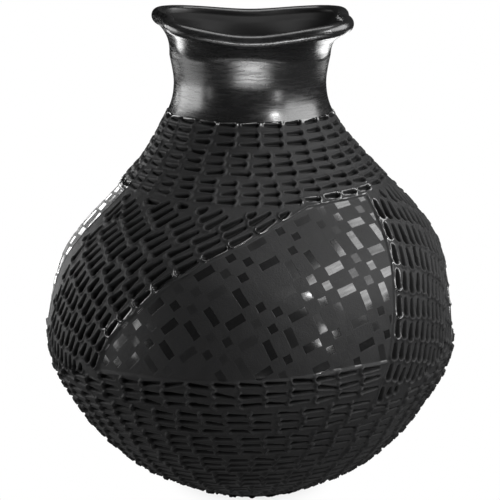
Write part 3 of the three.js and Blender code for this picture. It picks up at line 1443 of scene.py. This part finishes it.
@dataclass
class CarvedWall:
    """A stretch of the outer side, carved, in one or more sectors."""

    shop: Workshop
    name: str
    nodes: tuple[str, ...]
    low: float
    high: float
    columns: int
    rows: int
    sectors: int = 3
    first_turn: float = math.radians(60)

    def build(self) -> list[bpy.types.Object]:
        """Builds the sectors.

        Returns:
            The pieces, in order round the pot.
        """
        low, high = (float(self.shop.form.arc_of(h)) for h in (self.low, self.high))
        width = 2 * math.pi / self.sectors
        made = []
        for number in range(self.sectors):
            bm = bmesh.new()
            bmesh.ops.create_grid(bm, x_segments=self.columns, y_segments=self.rows, size=0.5)
            name = f"{self.name}_{number + 1}" if self.sectors > 1 else self.name
            piece = self.shop.piece(name, bm, Slot.MATTE, *self.nodes)
            share = self.shop.points(piece) + 0.5
            angle = self.first_turn + width * (number + share[:, 0])
            arc = low + (high - low) * share[:, 1]
            self.carve(piece, angle, arc)
            made.append(piece)
        return made

    def carve(self, piece: bpy.types.Object, angle: Array, arc: Array) -> None:
        """Places and carves a sector's points, and notes its tooling and pattern.

        Args:
            piece: The sector, still a flat grid.
            angle: Each point's angle from the front.
            arc: Each point's arc length up the wall.
        """
        level, tooling, lattice = self.shop.carving.at(angle, arc)
        form = self.shop.form
        places = form.skin(angle, arc) + form.outward(angle, arc) * level[:, None]
        self.shop.move_points(piece, places)
        self.shop.note(piece, "tooling", tooling)
        self.shop.note(piece, "lattice", lattice)
        if self.sectors == 1:
            self.shop.close_seam(piece)


@dataclass
class TurnedMember:
    """A member turned round the pot's axis from a line of radius and height."""

    shop: Workshop
    name: str
    nodes: tuple[str, ...]
    slot: Slot
    line: list[tuple[float, float]]
    steps: int = 256

    def build(self) -> bpy.types.Object:
        """Turns the line, then forms it by hand to the pot's shape.

        Returns:
            The piece.
        """
        piece = self.turn()
        self.form_by_hand(piece)
        return piece

    def turn(self) -> bpy.types.Object:
        """Turns the line into a round piece.

        Returns:
            The piece, still in millimetres.
        """
        bm = bmesh.new()
        points = [bm.verts.new((0, -radius, height)) for radius, height in self.line]
        edges = [bm.edges.new(pair) for pair in zip(points, points[1:])]
        bmesh.ops.spin(
            bm, geom=points + edges, axis=(0, 0, 1), cent=(0, 0, 0),
            angle=2 * math.pi, steps=self.steps, use_merge=True,
        )
        bmesh.ops.remove_doubles(bm, verts=bm.verts, dist=1e-4)
        bmesh.ops.recalc_face_normals(bm, faces=bm.faces)
        return self.shop.piece(self.name, bm, self.slot, *self.nodes)

    def form_by_hand(self, piece: bpy.types.Object) -> None:
        """Moves a round piece's points to the pot's hand-formed shape.

        Args:
            piece: The round piece, still in millimetres.
        """
        points = self.shop.points(piece)
        angle = np.arctan2(points[:, 0], -points[:, 1])
        radius = np.hypot(points[:, 0], points[:, 1])
        self.shop.move_points(piece, self.shop.form.formed(angle, radius, points[:, 2]))


@dataclass
class BurnishedNeck:
    """The smooth collar between the carved neck rows and the flare."""

    shop: Workshop
    steps: int = 40

    def build(self) -> bpy.types.Object:
        """Turns the collar.

        Returns:
            The piece.
        """
        form = self.shop.form
        low = form.arc_of(self.shop.carving.layout.burnish_height)
        arcs = np.linspace(low, form.full_arc, self.steps)
        line = list(zip(form.radius_of(arcs), form.height_of(arcs)))
        name, nodes = "burnished_neck", ("neck_collar",)
        return TurnedMember(self.shop, name, nodes, Slot.BURNISHED, line).build()


@dataclass
class FlaredMouth:
    """The flare and the coil rolled outward over its edge, turned as one skin."""

    shop: Workshop
    steps: int = 24
    round_steps: int = 320
    crease: float = math.radians(-82)
    start_slope: float = 0.143
    tucked: float = 0.95
    # Where the inside starts behind the inner flare: duller there, and darkened with painted shade.
    dull_and_shaded_behind: tuple[float, float] = (1.4, 0.2)

    def build(self) -> bpy.types.Object:
        """Turns the flare's outer side, the coil, and the flare's inner side.

        Returns:
            The piece.
        """
        form = self.shop.form
        coil, height = form.lip_radius, form.mouth_height
        turns = np.linspace(self.crease, math.pi, self.steps)
        lip = [
            (form.mouth_radius + coil * math.cos(turn), height + coil * math.sin(turn))
            for turn in turns
        ]
        inner_top = form.mouth_radius - coil
        outer_top = inner_top + form.flare_wall * self.tucked
        outer = self.side(form.bend_radius, outer_top, lip[0][1])
        inner = self.side(form.bend_radius - form.wall, inner_top, height)
        line = outer + lip[:-1] + inner[::-1]
        name, nodes = "flared_mouth_and_lip", ("flared_mouth", "rolled_lip")
        member = TurnedMember(self.shop, name, nodes, Slot.BURNISHED, line, self.round_steps)
        piece = member.turn()
        points = self.shop.points(piece)
        radii = np.hypot(points[:, 0], points[:, 1])
        behind = radii - np.interp(points[:, 2], [z for _, z in inner], [r for r, _ in inner])
        # The inside mask: a duller finish, and painted shade in the mouth's colour.
        inside = smoothstep(*self.dull_and_shaded_behind, behind)
        inside = inside * smoothstep(coil, 0, points[:, 2] - height)
        self.shop.note(piece, "tooling", np.column_stack([inside] * 3))
        member.form_by_hand(piece)
        return piece

    def side(self, bottom: float, top: float, end: float) -> list[tuple[float, float]]:
        """One side of the flare, from the bend up.

        Args:
            bottom: Radius at the bend.
            top: Radius at the top.
            end: Height at the top.

        Returns:
            Radius and height at close steps.
        """
        form = self.shop.form
        rise = end - form.bend_height
        share = np.linspace(0, 1, self.steps)
        start = self.start_slope * rise * share
        radii = bottom + start + (top - bottom - self.start_slope * rise) * share ** 2
        return list(zip(radii, form.bend_height + rise * share))


@dataclass
class InnerWall:
    """The pot's inside, from the floor up to the bend."""

    shop: Workshop
    floor: tuple[tuple[float, float], ...] = ((0, 7), (12, 7), (25, 8), (37, 11))
    lowest: float = 16
    steps: int = 60

    def build(self) -> bpy.types.Object:
        """Turns the inside a wall's thickness behind the outer side.

        Returns:
            The piece.
        """
        form = self.shop.form
        arcs = np.linspace(form.arc_of(self.lowest), form.full_arc, self.steps)
        radii, heights = form.radius_of(arcs), form.height_of(arcs)
        slant = np.sqrt(1 + np.gradient(radii, heights) ** 2)
        line = [*self.floor, *zip(radii - form.wall * slant, heights)]
        return TurnedMember(self.shop, "inner_wall", (), Slot.MATTE, line, steps=144).build()


@dataclass
class Foot:
    """The flat, slightly hollow foot."""

    shop: Workshop
    line: tuple[tuple[float, float], ...] = ((0, 0.6), (18, 0.5), (24, 0), (26, 0))

    def build(self) -> bpy.types.Object:
        """Turns the foot.

        Returns:
            The piece.
        """
        return TurnedMember(self.shop, "foot", (), Slot.MATTE, list(self.line), steps=96).build()


class LampShape(Enum):
    """Outline of a lamp."""

    BOX = "RECTANGLE"
    OVAL = "ELLIPSE"


@dataclass(frozen=True)
class Lamp:
    """A flat soft light: where it is, where it points, its sides, power and spread."""

    name: str
    place: tuple[float, float, float]
    aim: tuple[float, float, float]
    sides: tuple[float, float]
    power: float
    shape: LampShape = LampShape.BOX
    spread: float = 180

    def build(self) -> None:
        """Hangs the lamp and turns it towards its aim."""
        light = bpy.data.lights.new(self.name, "AREA")
        light.shape = self.shape.value
        light.spread = math.radians(self.spread)
        light.size, light.size_y = self.sides
        light.energy = self.power
        lamp = bpy.data.objects.new(self.name, light)
        lamp.location = self.place
        east, north, up = (aim - place for aim, place in zip(self.aim, self.place))
        tilt = math.pi / 2 + math.atan2(up, math.hypot(east, north))
        lamp.rotation_euler = (tilt, 0, math.atan2(-east, north))
        bpy.context.scene.collection.objects.link(lamp)


@dataclass(frozen=True)
class Studio:
    """A white sweep, soft lamps, a black flag card and the camera. Lengths are metres.

    The floor and the surroundings are white to the camera alone. The floor carries a painted
    shadow, a little greyer under the foot, from the first shadow distance to the second.
    """

    elevation: float = math.radians(13)
    distance: float = 0.95
    target: float = 0.1225
    lens: float = 135.2
    sensor: float = 36
    fill: float = 0.03
    floor_size: float = 8
    floor_grey: Colour = (0.06, 0.06, 0.06, 1)
    # Painted shadow on the floor under the foot: distances from the axis, and the floor's
    # brightness there.
    contact_shadow: tuple[float, float] = (0.02, 0.045)
    contact_shadow_tone: tuple[float, float] = (0.8, 1.0)
    flag_size: float = 0.05
    flag_place: tuple[float, float, float] = (-0.1, 0.12, 0.23)
    lamps: tuple[Lamp, ...] = (
        Lamp("right_box", (0.92, -0.14, 0.70), (0, 0, 0.13), (1.15, 0.85), 13.5),
        Lamp("right_strip", (0.6, -0.7, 0.2), (0, 0, 0.11), (0.12, 0.14), 0.45, LampShape.OVAL),
        Lamp("right_spot", (0.54, -0.7, 0.67), (0, 0, 0.19), (0.1, 0.1), 2.5, LampShape.OVAL),
        Lamp("left_box", (-1.0, 0.22, 0.24), (0, 0.22, 0.2), (1.0, 0.5), 6.6),
        Lamp("left_floor", (-0.72, 0.05, 0.003), (-0.72, 0.051, 1), (0.5, 0.5), 1.1),
        Lamp("left_strip", (-0.82, -0.44, 0.1), (0, 0, 0.1), (0.08, 0.3), 0.2, LampShape.OVAL),
        Lamp("top_box", (0, 0.1, 1.5), (0, 0, 0.15), (0.9, 0.7), 5.5),
        Lamp("back_sweep", (-0.8, 1.5, 0.16), (0, 0, 0.15), (1.1, 0.3), 6.5),
        Lamp("side_floor", (-0.74, 1.22, 0.003), (-0.74, 1.22, 1), (0.4, 0.4), 3.2),
        Lamp("back_floor", (0, 0.51, 0.003), (0, 0.51, 1), (1.0, 0.38), 4.75),
        Lamp(
            "low_card", (0.01, -0.42, 0.022), (0, -0.27, 0.25), (0.5, 0.08), 0.55,
            LampShape.OVAL, 84,
        ),
        Lamp("lip_card", (0, -0.19, 0.02), (0, -0.19, 0.25), (0.5, 0.03), 0.12),
        Lamp("under_glow", (0, 0, 0.004), (0, 0.001, 1), (0.3, 0.3), 0.07, LampShape.OVAL),
    )

    def build(self) -> None:
        """Sets the camera, the sweep, the lamps and the surroundings."""
        self.set_camera()
        self.lay_floor()
        self.hang_flag()
        for lamp in self.lamps:
            lamp.build()
        self.set_world()
        bpy.context.scene.view_settings.view_transform = "Standard"

    def set_camera(self) -> None:
        """Stands the camera in front of the pot and a little above it."""
        scene = bpy.context.scene
        data = bpy.data.cameras.new("camera")
        data.lens, data.sensor_width = self.lens, self.sensor
        camera = bpy.data.objects.new("camera", data)
        back, up = math.cos(self.elevation), math.sin(self.elevation)
        camera.location = (0, -self.distance * back, self.target + self.distance * up)
        camera.rotation_euler = (math.pi / 2 - self.elevation, 0, 0)
        scene.collection.objects.link(camera)
        scene.camera = camera

    def lay_floor(self) -> None:
        """Lays a wide floor that looks white but throws little light on the pot."""
        bm = bmesh.new()
        bmesh.ops.create_grid(bm, x_segments=2, y_segments=2, size=self.floor_size)
        mesh = bpy.data.meshes.new("floor")
        bm.to_mesh(mesh)
        bm.free()
        floor = bpy.data.objects.new("floor", mesh)
        paint = bpy.data.materials.new("white_sweep")
        paint.use_nodes = True
        desk = Desk(paint.node_tree)
        place = desk.node("ShaderNodeTexCoord").outputs["Object"]
        away = desk.node("ShaderNodeVectorMath", {0: place}, operation="LENGTH").outputs["Value"]
        # Painted shadow: the floor's glow is dimmer near the foot.
        white = desk.ramp(away, *self.contact_shadow, *self.contact_shadow_tone)
        glow = desk.node("ShaderNodeEmission", {"Strength": white})
        grey = desk.node("ShaderNodeBsdfDiffuse", {"Color": self.floor_grey})
        seen = desk.node("ShaderNodeLightPath").outputs["Is Camera Ray"]
        both = desk.node("ShaderNodeMixShader", {0: seen, 1: grey.outputs[0], 2: glow.outputs[0]})
        desk.feed(paint.node_tree.nodes["Material Output"].inputs[0], both.outputs[0])
        mesh.materials.append(paint)
        bpy.context.scene.collection.objects.link(floor)

    def hang_flag(self) -> None:
        """Hangs a black card that keeps the back lamp off the lip."""
        bm = bmesh.new()
        bmesh.ops.create_grid(bm, x_segments=1, y_segments=1, size=self.flag_size)
        mesh = bpy.data.meshes.new("flag")
        bm.to_mesh(mesh)
        bm.free()
        flag = bpy.data.objects.new("flag", mesh)
        black = bpy.data.materials.new("black_card")
        black.use_nodes = True
        shader = black.node_tree.nodes["Principled BSDF"]
        shader.inputs["Base Color"].default_value = (0, 0, 0, 1)
        shader.inputs["Specular IOR Level"].default_value = 0
        mesh.materials.append(black)
        flag.location = self.flag_place
        flag.rotation_euler = (math.pi / 2, 0, 0)
        flag.visible_camera = False
        bpy.context.scene.collection.objects.link(flag)

    def set_world(self) -> None:
        """Makes the surroundings white to the camera and nearly dark to the clay."""
        world = bpy.data.worlds.new("studio")
        world.use_nodes = True
        desk = Desk(world.node_tree)
        seen = desk.node("ShaderNodeLightPath").outputs["Is Camera Ray"]
        background = world.node_tree.nodes["Background"]
        background.inputs["Color"].default_value = (1, 1, 1, 1)
        desk.feed(background.inputs["Strength"], desk.blend(seen, self.fill, 1.0))
        bpy.context.scene.world = world


def main() -> None:
    """Builds the pot and its studio in order."""
    logging.basicConfig(level=logging.INFO, format="%(message)s")
    form = PotForm()
    carving = Carving(Layout(form), WallSheet(form, Blade()))
    log.info("cuts: %d", carving.press_all())
    finishes = {Slot.MATTE: MatteClay().build(), Slot.BURNISHED: BurnishedClay().build()}
    shop = Workshop(form, carving, finishes)
    dish_top, widest, shoulder_top = 16, 76, 158.5
    shoulder = ("shoulder_base", "shoulder_wall")
    CarvedWall(shop, "carved_shoulder", shoulder, widest, shoulder_top, 420, 202).build()
    belly = ("lower_wall", "belly_wall")
    CarvedWall(shop, "carved_belly", belly, dish_top, widest, 420, 160).build()
    CarvedWall(shop, "carved_dish", ("base_dish",), 0, dish_top, 700, 66, 1).build()
    neck_root = CarvedWall(
        shop, "carved_neck_root", ("neck_root",), shoulder_top, carving.layout.burnish_height,
        960, 100, 1,
    )
    neck_root.build()
    BurnishedNeck(shop).build()
    FlaredMouth(shop).build()
    InnerWall(shop).build()
    Foot(shop).build()
    Studio().build()


if __name__ == "__main__":
    main()
